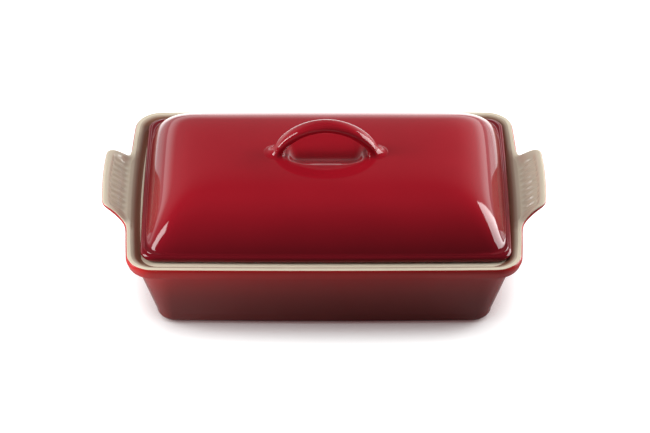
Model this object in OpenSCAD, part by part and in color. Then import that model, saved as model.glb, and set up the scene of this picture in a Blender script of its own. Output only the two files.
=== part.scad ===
// Covered baking dish: a rectangular glazed stoneware dish with a flange round its rim and a fluted
// tab handle at each end, and a crowned lid with a loop handle over a finger hollow.
// The origin is on the resting plane, under the middle of the dish. X runs from handle to handle.

/* [Dish rim] */
// Length of the dish over both tab handles
handles_l = 373; // [330:1:430]
// How far a tab handle stands out past the rim
tab_reach = 20.2; // [16:0.2:26]
// Width of the rim over its bowed long sides
rim_w = 230.8; // [190:0.1:270]
// Height of the dish from its foot to the top of the rim
rim_h = 72; // [60:0.5:90]
// How far the ends of the rim bow out past its corners
end_bow = 4.3; // [0:0.1:6]
// How far the long sides of the rim bow out past its corners
side_bow = 1.3; // [0:0.1:4]
// Corner radius of the rim, seen from above
rim_corner = 21; // [14:0.5:26]
// Height of the flange that runs round the outside of the rim
flange_h = 10; // [7:0.5:13]
// How far the flange stands out from the body at the ends
flange_end_out = 7; // [4:0.5:9]
// How far the flange stands out from the body along the sides
flange_side_out = 5; // [3:0.5:7]
// Width of the flat top of the rim
rim_top_w = 4; // [3:0.5:6]
// Width of the slope that leads from the rim's top down to the ledge
slope_w = 5.5; // [4:0.5:7]
// Depth of the ledge below the top of the rim
ledge_drop = 4; // [3:0.5:6]
// Width of the ledge that carries the lid
ledge_w = 8.5; // [8:0.5:11]

/* [Dish body] */
// How far the foot stands in from the flange at the ends
foot_end_in = 25.8; // [20:0.2:34]
// How far the foot stands in from the flange along the sides
foot_side_in = 19.8; // [14:0.2:26]
// Radius of the edge between the walls and the foot
foot_r = 9; // [7:0.5:14]
// Corner radius of the body just under the flange
body_corner = 31; // [24:1:38]
// Corner radius of the body at the foot
foot_corner = 14; // [12:1:24]
// Thickness of the body's wall
wall_t = 8; // [6:0.5:10]
// Thickness of the floor of the dish
floor_t = 8; // [6:0.5:11]
// Radius of the fillet between floor and walls, inside
inner_fillet = 14; // [9:0.5:18]

/* [Tab handles] */
// Width of a tab handle where its outer corners begin
tab_w = 83; // [66:1:100]
// Height of a tab's outer edge above the rim
tab_rise = 13; // [6:0.5:16]
// Thickness of a tab handle
tab_t = 8; // [6:0.5:10]
// Width of the band along a tab's edges where its underside rounds up to them
tab_under_w = 13; // [8:0.5:16]
// How much wider a tab is where it grows out of the rim, on each side, without its fillet
tab_root_out = 5.2; // [3:0.2:9]
// Size of the fillet between the side of a tab and the rim
tab_fillet = 14; // [8:0.5:18]
// Width of the raised margin round a tab's upper face
tab_margin = 5.5; // [4:0.5:8]
// Depth of the hollow of a tab's upper face below its margin
tab_hollow = 1.4; // [0.8:0.1:2.5]
// Distance from one flute to the next
flute_pitch = 7.7; // [6:0.1:8.5]
// Depth of a flute
flute_d = 1; // [0.5:0.1:1.5]

/* [Lid] */
// Gap between the lid and the foot of the rim's slope at each end
lid_end_gap = 1.8; // [0.5:0.1:2]
// Gap between the lid and the foot of the rim's slope along each side
lid_side_gap = 3; // [1:0.1:4]
// How far the lid lies off the middle towards one end
lid_off_x = 1.6; // [0:0.1:2]
// How far the lid lies off the middle towards the back
lid_off_y = 1.5; // [0:0.1:3]
// How far the ends of the lid bow out past its corners
lid_bow = 1.2; // [0:0.1:4]
// Thickness of the lid's edge
lid_edge_t = 6.2; // [5:0.2:8]
// Height of the crown's shoulders above the ledge that the lid rests on
crown_h = 38.5; // [32:0.2:50]
// How much higher the middle of the crown is than its shoulders
crown_dome = 2.2; // [0:0.2:4]
// Width of the lid's flat edge, from its outside to the foot of the crown
lid_edge_w = 6; // [5:0.5:8]
// Corner radius of the lid's edge
lid_corner = 12; // [10:0.5:18]
// Radius of the crown's hips
hip_r = 12; // [8:1:20]
// Run of the crown's slope at the ends, as a share of its run at the sides
end_run = 0.85; // [0.7:0.05:1.1]
// Thickness of the lid's wall
lid_wall = 7; // [5.5:0.5:9]

/* [Loop handle] */
// Length of the loop handle over its feet, along the middle of the bar
loop_l = 81; // [76:1:110]
// Height of the middle of the bar above the crown
loop_h = 26.4; // [22:0.1:32]
// How far the feet spread out over the crown
foot_spread = 6; // [3:0.5:9]
// Width of the bar, front to back
bar_w = 14; // [10:0.5:16]
// Thickness of the bar, top to bottom
bar_t = 9; // [7:0.5:11]
// Length of the finger hollow under the loop
hollow_l = 68; // [52:1:74]
// Width of the finger hollow, front to back
hollow_w = 40; // [34:1:54]
// How much further the finger hollow runs back than it runs forward of the bar
hollow_back = 1.4; // [1:0.1:1.6]
// Depth of the finger hollow
hollow_d = 9; // [6:0.5:12]

/* [Hidden] */
red_glaze = "#9a2127";
// Steps in each corner's arc, and points along each long side between the corners
arc_n = 7;
side_n = 3;

// Length of the rim over its bowed ends, between the tab handles
rim_l = handles_l - 2 * tab_reach;
// Rim, slope and ledge, as distances in from the rim's outside, and the roundings of their edges
rim_edge = 1;
rim_round = 3;
flange_taper = 1.6;
flange_round = 0.8;
slope_round = 0.8;
rim_top_in = rim_edge + rim_top_w;
ledge_in = rim_top_in + slope_w;
mouth_in = ledge_in + ledge_w;
ledge_z = rim_h - ledge_drop;
ledge_corner = rim_corner - rim_top_in - 3;
flange_z = rim_h - flange_h;
foot_end_bow = end_bow / 4;
foot_side_bow = side_bow * 1.4;

// Tab handles: where they start in the flange, and how far out their widest part is at the root
tab_start_in = rim_top_in + 0.2;
tab_hw = tab_w / 2;
tab_root_hw = tab_hw + tab_root_out;
tab_edge = 6.8;
tip_bow = 2;
tip_corner = 5;
flute_n = floor((tab_w - 2 * tab_edge) / flute_pitch);
flute_hw = flute_n * flute_pitch / 2;
tab_round = 3;
rim_dip = tab_hollow + 0.4;

// Lid: half sizes of its outline at the middle of each side, and the heights of its parts
lid_hl = rim_l / 2 - ledge_in - lid_end_gap;
lid_hw = rim_w / 2 - ledge_in - lid_side_gap;
edge_r = lid_edge_t / 2;
crown_z = ledge_z + crown_h;
top_z = crown_z + crown_dome;
edge_z = ledge_z + lid_edge_t;
crown_power = 4.5;
crown_end = 4;
oval_power = 3;
bearing_w = 4;

// Insets that lie close together at the start of a run and further apart towards its end
function widening(n, start, end) = [for (k = [1:n]) mix(start, end, pow(k / n, 2))];
function smooth(t) = let (c = min(1, max(0, t))) c * c * (3 - 2 * c);
function mix(a, b, t) = a + (b - a) * t;

// Where the points of a ring stand between two corners: evenly along a long side, and round the
// root of the tab handle at an end
side_s = [for (i = [1:side_n]) 1 - 2 * i / (side_n + 1)];
end_y = [for (d = [16, 6, 0, -8, -28]) (tab_root_hw + d) / (rim_w / 2 - side_bow - rim_corner)];
end_s = concat(end_y, [0], [for (i = [4:-1:0]) -end_y[i]]);

// A point of a rounded rectangle, moved out by the bow of the side that it lies on
function bowed(x, y, a, b, r, bow_x, bow_y, z) = [
    x + sign(x) * bow_x * (1 - pow(y / b, 2)) * min(1, abs(x) / (a - r)),
    y + sign(y) * bow_y * (1 - pow(x / a, 2)) * min(1, abs(y) / (b - r)),
    z];

// One ring of a loft: half length hl and half width hw are measured at the middle of the sides
function ring(hl, hw, r, z, bow_x = end_bow, bow_y = side_bow) =
    let (a = hl - bow_x, b = hw - bow_y)
    [for (k = [0:3])
        let (sx = (k == 0 || k == 3) ? 1 : -1, sy = k < 2 ? 1 : -1)
        each concat(
            [for (i = [0:arc_n]) let (t = 90 * (k + i / arc_n))
                bowed(sx * (a - r) + r * cos(t), sy * (b - r) + r * sin(t), a, b, r, bow_x, bow_y, z)],
            [for (s = k % 2 == 0 ? side_s : end_s)
                k % 2 == 0 ? bowed(sx * s * (a - r), sy * b, a, b, r, bow_x, bow_y, z)
                           : bowed(sx * a, sy * s * (b - r), a, b, r, bow_x, bow_y, z)])];

// An oval with flattened sides, whose back half runs out further than its front half
function squared(t) = sign(t) * pow(abs(t), 2 / oval_power);
function oval(a, b, z, n = 36) = [for (i = [0:n - 1]) let (y = squared(sin(360 * i / n)))
    [a * squared(cos(360 * i / n)), b * y * (y > 0 ? hollow_back : 1), z]];

// A closed solid through a list of rings, from the first ring's cap, which looks down, to the last's
module loft(rings) {
    n = len(rings[0]);
    m = len(rings);
    polyhedron(
        points = [for (r = rings) each r],
        faces = concat(
            [[for (j = [0:n - 1]) j]],
            [for (i = [0:m - 2]) for (j = [0:n - 1]) let (k = (j + 1) % n)
                each [[i * n + j, (i + 1) * n + j, (i + 1) * n + k],
                      [i * n + j, (i + 1) * n + k, i * n + k]]],
            [[for (j = [n - 1:-1:0]) (m - 1) * n + j]]));
}

// A closed solid between an upper and a lower sheet of points, each a list of rows
module slab(upper, lower) {
    m = len(upper);
    n = len(upper[0]);
    u = function (i, j) i * n + j;
    l = function (i, j) (m + i) * n + j;
    quads = concat(
        [for (i = [0:m - 2]) for (j = [0:n - 2]) each [
            [u(i, j), u(i, j + 1), u(i + 1, j + 1), u(i + 1, j)],
            [l(i, j), l(i + 1, j), l(i + 1, j + 1), l(i, j + 1)]]],
        [for (i = [0:m - 2]) each [
            [u(i, 0), u(i + 1, 0), l(i + 1, 0), l(i, 0)],
            [u(i + 1, n - 1), u(i, n - 1), l(i, n - 1), l(i + 1, n - 1)]]],
        [for (j = [0:n - 2]) each [
            [u(0, j + 1), u(0, j), l(0, j), l(0, j + 1)],
            [u(m - 1, j), u(m - 1, j + 1), l(m - 1, j + 1), l(m - 1, j)]]]);
    polyhedron(
        points = concat([for (r = upper) each r], [for (r = lower) each r]),
        faces = [for (q = quads) each [[q[0], q[1], q[2]], [q[0], q[2], q[3]]]]);
}

// A ring of the dish, given by how far it stands in from the rim's outside
function dish_ring(end_in, side_in, r, z, bow_x = end_bow, bow_y = side_bow) =
    ring(rim_l / 2 - end_in, rim_w / 2 - side_in, r, z, bow_x, bow_y);

// A ring on the rim's top, which dips where the tab handles grow out of it
function dipped(r) = [for (p = r)
    let (d = smooth((tab_root_hw + 3 - abs(p.y)) / 7) * (abs(p.x) > rim_l / 2 - end_bow - rim_corner ? 1 : 0))
    [p.x, p.y, p.z - rim_dip * d]];

// A ring of the body's outer wall, t from 0 at the foot's edge to 1 under the flange, moved in by w
function wall_ring(t, z, w = 0, least = 0) =
    dish_ring(max(least, mix(foot_end_in, flange_end_out, t) + w),
              max(least, mix(foot_side_in, flange_side_out, t) + w),
              mix(foot_corner, body_corner, t) - w,
              z, mix(foot_end_bow, end_bow * 0.6, t), mix(foot_side_bow, side_bow, t));

module dish_shell() {
    wall_top = flange_z - flange_round;
    outside = concat(
        [for (k = [0:4]) let (a = 90 * k / 5)
            dish_ring(foot_end_in + foot_r * (1 - sin(a)), foot_side_in + foot_r * (1 - sin(a)),
                      foot_corner - foot_r * (1 - sin(a)) / 2, foot_r * (1 - cos(a)),
                      foot_end_bow, foot_side_bow)],
        [for (t = [0:0.2:1]) wall_ring(t, mix(foot_r, wall_top, t))]);
    flange = [
        dish_ring(flange_taper + flange_round, flange_taper + flange_round, rim_corner - flange_round,
                  flange_z),
        dish_ring(flange_taper, flange_taper, rim_corner, flange_z + flange_round),
        dish_ring(flange_taper * 0.3, flange_taper * 0.3, rim_corner, mix(flange_z, rim_h - rim_round, 0.55)),
        dish_ring(0, 0, rim_corner, rim_h - rim_round),
        dish_ring(rim_edge / 4, rim_edge / 4, rim_corner - rim_edge / 4, rim_h - rim_round * 0.3)];
    rim = [
        dipped(dish_ring(rim_edge, rim_edge, rim_corner - rim_edge, rim_h - slope_round * 0.15)),
        dipped(dish_ring(rim_edge + slope_round, rim_edge + slope_round, rim_corner - rim_edge - slope_round,
                         rim_h)),
        dipped(dish_ring(rim_top_in - slope_round, rim_top_in - slope_round,
                         rim_corner - rim_top_in + slope_round, rim_h)),
        dipped(dish_ring(rim_top_in, rim_top_in, rim_corner - rim_top_in, rim_h - slope_round / 2)),
        dish_ring(ledge_in - slope_round * 1.5, ledge_in - slope_round * 1.5, ledge_corner + slope_round,
                  ledge_z + slope_round),
        dish_ring(ledge_in, ledge_in, ledge_corner, ledge_z)];
    fillet_z = floor_t + inner_fillet;
    inside = concat(
        [dish_ring(mouth_in - slope_round, mouth_in - slope_round, lid_corner, ledge_z)],
        [for (z = [ledge_z - slope_round, mix(fillet_z, ledge_z, 0.7), mix(fillet_z, ledge_z, 0.35),
                   fillet_z])
            wall_ring((z - foot_r) / (wall_top - foot_r), z, wall_t, mouth_in)],
        [for (k = [1:5]) let (a = 90 * k / 5, z = fillet_z - inner_fillet * sin(a))
            wall_ring((fillet_z - foot_r) / (wall_top - foot_r), z,
                      wall_t + inner_fillet * (1 - cos(a)) * 0.999, mouth_in)]);
    loft(concat(outside, flange, rim, inside));
}

// The tab handle's plan and section: u runs from the rim to the tip, and y across
function rim_x(y) = rim_l / 2 - end_bow * pow(y / (rim_w / 2 - side_bow), 2);
function tip_x(y) = handles_l / 2 - tip_bow * pow(y / tab_hw, 2)
    - tip_corner * pow(max(0, (abs(y) - tab_hw + tab_edge) / tab_edge), 2.7);
function tab_half(u) = tab_hw + tab_root_out * (1 - u) + tab_fillet / (1 + pow(u / 0.22, 4));
function crest(x) = let (w = min(1, max(0, (x - rim_l / 2) / tab_reach)))
    rim_h + tab_rise * (1 - pow(1 - w, 1.9));
function flute(y) = let (t = y / flute_pitch + flute_n / 2, f = t - floor(t))
    abs(y) >= flute_hw ? 0 : flute_d * (1 - pow(2 * f - 1, 2));

// The upper face: a hollow inside a raised margin, with flutes that run from the rim to the margin
function tab_top(x, y, u, from_tip, from_side) =
    let (margin = max(1 - smooth((from_tip - tab_margin) * 2 / tab_round),
                      1 - smooth((from_side - tab_round) / 4)),
         reach = smooth((u - 0.1) / 0.15) * smooth((from_tip - tab_margin - 1) * 2 / tab_round),
         edge = max(1 - from_tip / (tab_round * 0.4), 1 - from_side / (tab_round * 0.4), 0))
    crest(x) - tab_hollow * (1 - margin) - flute(y) * reach - tab_t * 0.2 * edge;
function tab_under(x, from_tip, from_side) =
    let (edge = max(1 - from_tip / tab_under_w, 1 - from_side / tab_under_w, 0))
    crest(x) - tab_t + tab_t * 0.6 * edge * edge;

module tab() {
    depth = tab_reach + tab_start_in;
    steps = concat([for (u = [0:0.1:0.6]) u],
                   [for (d = [tab_margin + tab_round, tab_margin + tab_round / 2, tab_margin, tab_round,
                              tab_round * 0.4, 0]) 1 - d / depth]);
    flute_y = [for (i = [0:3 * flute_n]) -flute_hw + i * flute_pitch / 3];
    rows = [for (u = steps)
        let (h = tab_half(u), out = [mix(flute_hw, h - tab_round, 0.4), mix(flute_hw, h - tab_round, 0.75),
                                     h - tab_round, h - tab_round * 0.4, h],
             ys = concat([for (i = [4:-1:0]) -out[i]], flute_y, out))
        [for (y = ys)
            let (x0 = rim_x(y) - tab_start_in, x1 = tip_x(min(abs(y), tab_hw)), x = mix(x0, x1, u))
            [x, y, u, x1 - x, h - abs(y)]]];
    slab([for (r = rows) [for (p = r) [p[0], p[1], tab_top(p[0], p[1], p[2], p[3], p[4])]]],
         [for (r = rows) [for (p = r) [p[0], p[1], tab_under(p[0], p[3], p[4])]]]);
}

// One casting: the dish with its flange, ledge and two tab handles
module dish() {
    color(red_glaze) union() {
        dish_shell();
        tab();
        mirror([1, 0, 0]) tab();
    }
}

// A ring of the lid, given by how far it stands in from the lid's outline
function lid_ring(inset, z, r) =
    let (hw = lid_hw - inset, share = hw / lid_hw,
         end_inset = min(inset, lid_edge_w) + max(0, inset - lid_edge_w) * end_run)
    ring(lid_hl - end_inset, hw, min(r, hw - side_bow * share - 0.5), z, lid_bow * share, side_bow * share);

// Height of a dome over its own foot, which is inset by start: steep at the foot, nearly flat on top
function dome_z(inset, start, foot, top) =
    let (t = min(1, (inset - start) / (lid_hw - start)))
    top - (top - foot) * pow(1 - t, crown_power) + crown_dome * smooth(t);
function hip(inset, start) = mix(lid_corner, hip_r, smooth((inset - start) / 12));

module lid_shell() {
    inner_start = lid_edge_w + bearing_w;
    inner = widening(7, inner_start, lid_hw - crown_end);
    under = [for (k = [len(inner) - 1:-1:0]) let (i = inner[k])
        lid_ring(i, dome_z(i, inner_start, ledge_z, crown_z - lid_wall), hip(i, inner_start))];
    bead = [for (a = [-90:30:90])
        lid_ring(edge_r * (1 - cos(a)), ledge_z + edge_r * (1 + sin(a)), lid_corner)];
    over = [for (i = widening(14, lid_edge_w, lid_hw - crown_end))
        lid_ring(i, dome_z(i, lid_edge_w, edge_z + 0.6, crown_z), hip(i, lid_edge_w))];
    loft(concat(under, [lid_ring(inner_start, ledge_z, lid_corner)], bead,
                [lid_ring(lid_edge_w - 0.8, edge_z + 0.1, lid_corner)], over));
}

// The finger hollow: a bowl with a rounded lip, given by its shares of size and depth
hollow_steps = [[1.1, -0.17], [1.04, 0], [1, 0.1], [0.95, 0.27], [0.87, 0.51], [0.75, 0.75], [0.6, 0.91],
                [0.4, 0.98], [0.2, 1]];
module hollow_bowl(out = 0) {
    loft([for (i = [len(hollow_steps) - 1:-1:0]) let (h = hollow_steps[i])
        oval(h[0] * hollow_l / 2 + out, h[0] * hollow_w / 2 + out, top_z - 0.8 - hollow_d * h[1] - out)]);
}

// The loop handle: an oval bar swept along an arch. Its feet spread outwards where they meet the crown,
// and run down into the lid's wall.
module loop() {
    n = 22;
    sides = 16;
    a = loop_l / 2;
    foot_down = lid_wall * 0.6;
    path = concat([[-a, 0, -foot_down]],
                  [for (i = [1:n - 1]) let (t = mix(-90, 90, (i - 1) / (n - 2)))
                      [a * sin(t), 0, loop_h * pow(cos(t), 1.42)]],
                  [[a, 0, -foot_down]]);
    sections = [for (i = [0:n])
        let (p = path[i], q = path[min(n, i + 1)] - path[max(0, i - 1)], d = q / norm(q),
             spread = foot_spread * pow(1 - min(1, max(0, p.z) / (foot_spread * 1.4)), 2.5))
        [for (j = [0:sides - 1])
            let (w = (bar_w / 2 + spread * 0.6) * cos(360 * j / sides),
                 h = (bar_t + spread) / 2 * sin(360 * j / sides))
            p + [-d.z * h + sign(p.x) * spread / 2, w, top_z + d.x * h]]];
    loft(sections);
}

// One casting: the crowned lid, with its finger hollow and its loop handle
module lid() {
    translate([lid_off_x, lid_off_y, 0]) color(red_glaze) union() {
        difference() {
            union() {
                lid_shell();
                hollow_bowl(lid_wall - 1);
            }
            hollow_bowl();
        }
        loop();
    }
}

dish();
lid();
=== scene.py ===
"""Covered baking dish of glazed stoneware: the dressed model around its fixed frame.

Sizes are in millimetres in the piece classes and are turned to metres when a mesh is written.
"""
from __future__ import annotations

import logging
import math
from dataclasses import dataclass, field, replace
from enum import Enum
from typing import Sequence

import bmesh
import bpy
from mathutils import Matrix, Vector


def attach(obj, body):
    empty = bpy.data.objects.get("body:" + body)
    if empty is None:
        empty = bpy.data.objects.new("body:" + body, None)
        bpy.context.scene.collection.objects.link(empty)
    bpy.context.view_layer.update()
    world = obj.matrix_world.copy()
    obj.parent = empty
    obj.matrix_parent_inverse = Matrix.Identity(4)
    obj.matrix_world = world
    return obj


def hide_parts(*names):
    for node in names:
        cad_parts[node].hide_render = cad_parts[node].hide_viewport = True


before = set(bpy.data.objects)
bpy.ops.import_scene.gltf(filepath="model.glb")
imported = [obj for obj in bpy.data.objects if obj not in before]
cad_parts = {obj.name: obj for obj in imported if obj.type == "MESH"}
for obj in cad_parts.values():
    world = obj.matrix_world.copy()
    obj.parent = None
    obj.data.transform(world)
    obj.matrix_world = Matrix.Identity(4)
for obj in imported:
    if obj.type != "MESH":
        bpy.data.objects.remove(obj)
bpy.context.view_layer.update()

MM = 0.001
LOG = logging.getLogger("baking_dish")
Tree, Socket = bpy.types.NodeTree, bpy.types.NodeSocket


def mix(a: float, b: float, t: float) -> float:
    """Return the value a share t of the way from a to b."""
    return a + (b - a) * t


def clamp(t: float) -> float:
    """Return t kept between 0 and 1."""
    return min(1.0, max(0.0, t))


def smooth(t: float) -> float:
    """Return an ease from 0 to 1 with level ends."""
    c = clamp(t)
    return c * c * (3.0 - 2.0 * c)


def smoother(t: float) -> float:
    """Return an ease from 0 to 1 with long level ends."""
    c = clamp(t)
    return c * c * c * (10.0 - 15.0 * c + 6.0 * c * c)


def between(p: Vector, q: Vector, share: float, z: float) -> Vector:
    """Return the point at height z that lies a share of the way from p to q in plan."""
    return Vector((mix(p.x, q.x, share), mix(p.y, q.y, share), z))


def soft_min(a: float, b: float, blend: float) -> float:
    """Return the lower of two values, rounded over where they are within a few blends of each other."""
    low = min(a, b)
    return low - blend * math.log(math.exp((low - a) / blend) + math.exp((low - b) / blend))


def spline(points: Sequence[tuple[float, float]], steps: int) -> list[tuple[float, float]]:
    """Run a smooth curve through points.

    Args:
        points: The points, with one extra at each end that only sets the curve's direction there.
        steps: How many straight steps stand between two points.

    Returns:
        The curve from the second point to the last but one.
    """
    curve = []
    for p, q, r, s in zip(points, points[1:], points[2:], points[3:]):
        for step in range(steps):
            t = step / steps
            curve.append(tuple(
                0.5 * (2 * q[i] + (r[i] - p[i]) * t + (2 * p[i] - 5 * q[i] + 4 * r[i] - s[i]) * t ** 2
                       + (3 * q[i] - p[i] - 3 * r[i] + s[i]) * t ** 3) for i in (0, 1)))
    curve.append(points[-2])
    return curve


def along(curve: Sequence[tuple[float, float]], count: int) -> list[tuple[float, float]]:
    """Return count points at even distances along a curve, its ends included.

    Args:
        curve: The curve's points.
        count: How many points to return.

    Returns:
        The points.
    """
    run = [0.0]
    for p, q in zip(curve, curve[1:]):
        run.append(run[-1] + math.dist(p, q))
    found, i = [], 0
    for k in range(count):
        goal = run[-1] * k / (count - 1)
        while i < len(run) - 2 and run[i + 1] < goal:
            i += 1
        t = (goal - run[i]) / max(run[i + 1] - run[i], 1e-9)
        found.append((mix(curve[i][0], curve[i + 1][0], t), mix(curve[i][1], curve[i + 1][1], t)))
    return found


class Side(Enum):
    """The stretch of a rounded rectangle that a vertex line stands on."""

    CORNER = "corner"
    LONG = "long side"
    END = "end"


@dataclass(frozen=True)
class Line:
    """One vertex line of a casting, which crosses all its rings.

    Attributes:
        side: The stretch that it stands on.
        sx: Which end of the casting, 1 or -1.
        sy: Which long side, 1 or -1.
        share: The angle on a corner in degrees, or the signed share of a side from its middle.
    """

    side: Side
    sx: int
    sy: int
    share: float


@dataclass(frozen=True)
class Ring:
    """One ring of a casting: a rounded rectangle whose sides bow out.

    Attributes:
        half_l: Half its length, at the middle of its ends.
        half_w: Half its width, at the middle of its long sides.
        corner: Corner radius.
        z: Height.
        bow_l: How far its ends bow out.
        bow_w: How far its long sides bow out.
    """

    half_l: float
    half_w: float
    corner: float
    z: float
    bow_l: float
    bow_w: float

    def at(self, line: Line) -> Vector:
        """Return the point where a vertex line crosses this ring.

        Args:
            line: The vertex line.

        Returns:
            The point.
        """
        a, b, r = self.half_l - self.bow_l, self.half_w - self.bow_w, self.corner
        if line.side is Side.CORNER:
            turn = math.radians(line.share)
            x = line.sx * (a - r) + r * math.cos(turn)
            y = line.sy * (b - r) + r * math.sin(turn)
        elif line.side is Side.LONG:
            x, y = line.share * (a - r), line.sy * b
        else:
            x, y = line.sx * a, line.share * (b - r)
        out_x = math.copysign(self.bow_l * (1 - (y / b) ** 2) * min(1.0, abs(x) / (a - r)), x)
        out_y = math.copysign(self.bow_w * (1 - (x / a) ** 2) * min(1.0, abs(y) / (b - r)), y)
        return Vector((x + out_x, y + out_y, self.z))


def vertex_lines(corner_steps: int, long_steps: int, end_shares: Sequence[float]) -> list[Line]:
    """Return a casting's vertex lines once round, anticlockwise from the right end's back corner.

    Args:
        corner_steps: How many steps each corner takes.
        long_steps: How many steps each long side takes.
        end_shares: The signed shares at which lines cross the right end, from back to front.

    Returns:
        The lines in order.
    """
    lines: list[Line] = []
    for quadrant, (sx, sy) in enumerate(((1, 1), (-1, 1), (-1, -1), (1, -1))):
        lines += [Line(Side.CORNER, sx, sy, 90.0 * (quadrant + i / corner_steps))
                  for i in range(corner_steps + 1)]
        if quadrant % 2 == 0:
            shares = [1.0 - 2.0 * i / long_steps for i in range(1, long_steps)]
            lines += [Line(Side.LONG, sx, sy, sx * share) for share in shares]
        else:
            lines += [Line(Side.END, sx, sy, sy * share) for share in end_shares]
    return lines


class Loft:
    """A wall that grows from one loop of vertices by extruding it ring after ring."""

    def __init__(self, first: Sequence[Vector]) -> None:
        """Lay down the first ring, from its points in order.

        Args:
            first: Its points, in order.
        """
        self.bm = bmesh.new()
        self.loop = list(bmesh.ops.create_circle(self.bm, segments=len(first), radius=1.0)["verts"])
        self._place(first)

    def _place(self, points: Sequence[Vector]) -> None:
        """Move the open loop's vertices onto points."""
        for vert, point in zip(self.loop, points):
            vert.co = point

    def _edges(self) -> list[bmesh.types.BMEdge]:
        """Return the open loop's edges."""
        inside = set(self.loop)
        return [e for v in self.loop for e in v.link_edges if e.other_vert(v) in inside and e.verts[0] is v]

    def grow(self, points: Sequence[Vector], material: int = 0) -> None:
        """Extrude the open loop onto the next ring.

        Args:
            points: The next ring's points, in order.
            material: Index of the finish that the new faces take.
        """
        made = bmesh.ops.extrude_edge_only(self.bm, edges=self._edges())["geom"]
        fresh = {v for v in made if isinstance(v, bmesh.types.BMVert)}
        for item in made:
            if isinstance(item, bmesh.types.BMFace):
                item.material_index = material
        self.loop = [next(e.other_vert(v) for e in v.link_edges if e.other_vert(v) in fresh) for v in self.loop]
        self._place(points)

    def cap(self, material: int = 0) -> None:
        """Close the open loop with one flat face of the finish with this index."""
        for face in bmesh.ops.contextual_create(self.bm, geom=self._edges())["faces"]:
            face.material_index = material


def add_object(name: str, data: bpy.types.ID) -> bpy.types.Object:
    """Put a mesh, a lamp or a camera into the scene.

    Args:
        name: The object's name.
        data: The mesh, lamp or camera.

    Returns:
        The object.
    """
    thing = bpy.data.objects.new(name, data)
    bpy.context.scene.collection.objects.link(thing)
    return thing


def finish_mesh(bm: bmesh.types.BMesh, name: str, materials: Sequence[bpy.types.Material]) -> bpy.types.Object:
    """Turn a bmesh in millimetres into a smooth object in metres.

    Args:
        bm: The closed mesh, which is freed.
        name: The object's name.
        materials: Its finishes, in the order of the faces' indices.

    Returns:
        The object, at the origin.
    """
    bmesh.ops.recalc_face_normals(bm, faces=bm.faces)
    bmesh.ops.scale(bm, vec=(MM, MM, MM), verts=bm.verts)
    mesh = bpy.data.meshes.new(name)
    bm.to_mesh(mesh)
    bm.free()
    for material in materials:
        mesh.materials.append(material)
    mesh.shade_smooth()
    return add_object(name, mesh)


# ---------------- finishes


def srgb(code: str) -> tuple[float, float, float, float]:
    """Turn a hex colour as it is seen into linear values.

    Args:
        code: Six hex digits after a hash.

    Returns:
        Linear red, green, blue and alpha.
    """
    parts = [int(code[i:i + 2], 16) / 255 for i in (1, 3, 5)]
    return (*(c / 12.92 if c <= 0.04045 else ((c + 0.055) / 1.055) ** 2.4 for c in parts), 1.0)


def empty_tree(owner: bpy.types.Material | bpy.types.World) -> Tree:
    """Clear the node tree of a material or a world.

    Args:
        owner: The material or world.

    Returns:
        The empty tree.
    """
    owner.use_nodes = True
    owner.node_tree.nodes.clear()
    return owner.node_tree


def add_node(tree: Tree, kind: str, settings: dict | None = None, inputs: dict | None = None) -> bpy.types.Node:
    """Add a node with its settings and links.

    Args:
        tree: The node tree.
        kind: The node's type, without "ShaderNode".
        settings: Attributes to set on the node.
        inputs: Socket names or indices, each with a value or with the output socket to link from.

    Returns:
        The new node.
    """
    node = tree.nodes.new("ShaderNode" + kind)
    for key, value in (settings or {}).items():
        setattr(node, key, value)
    for key, value in (inputs or {}).items():
        if isinstance(value, Socket):
            tree.links.new(value, node.inputs[key])
        else:
            node.inputs[key].default_value = value
    return node


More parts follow.
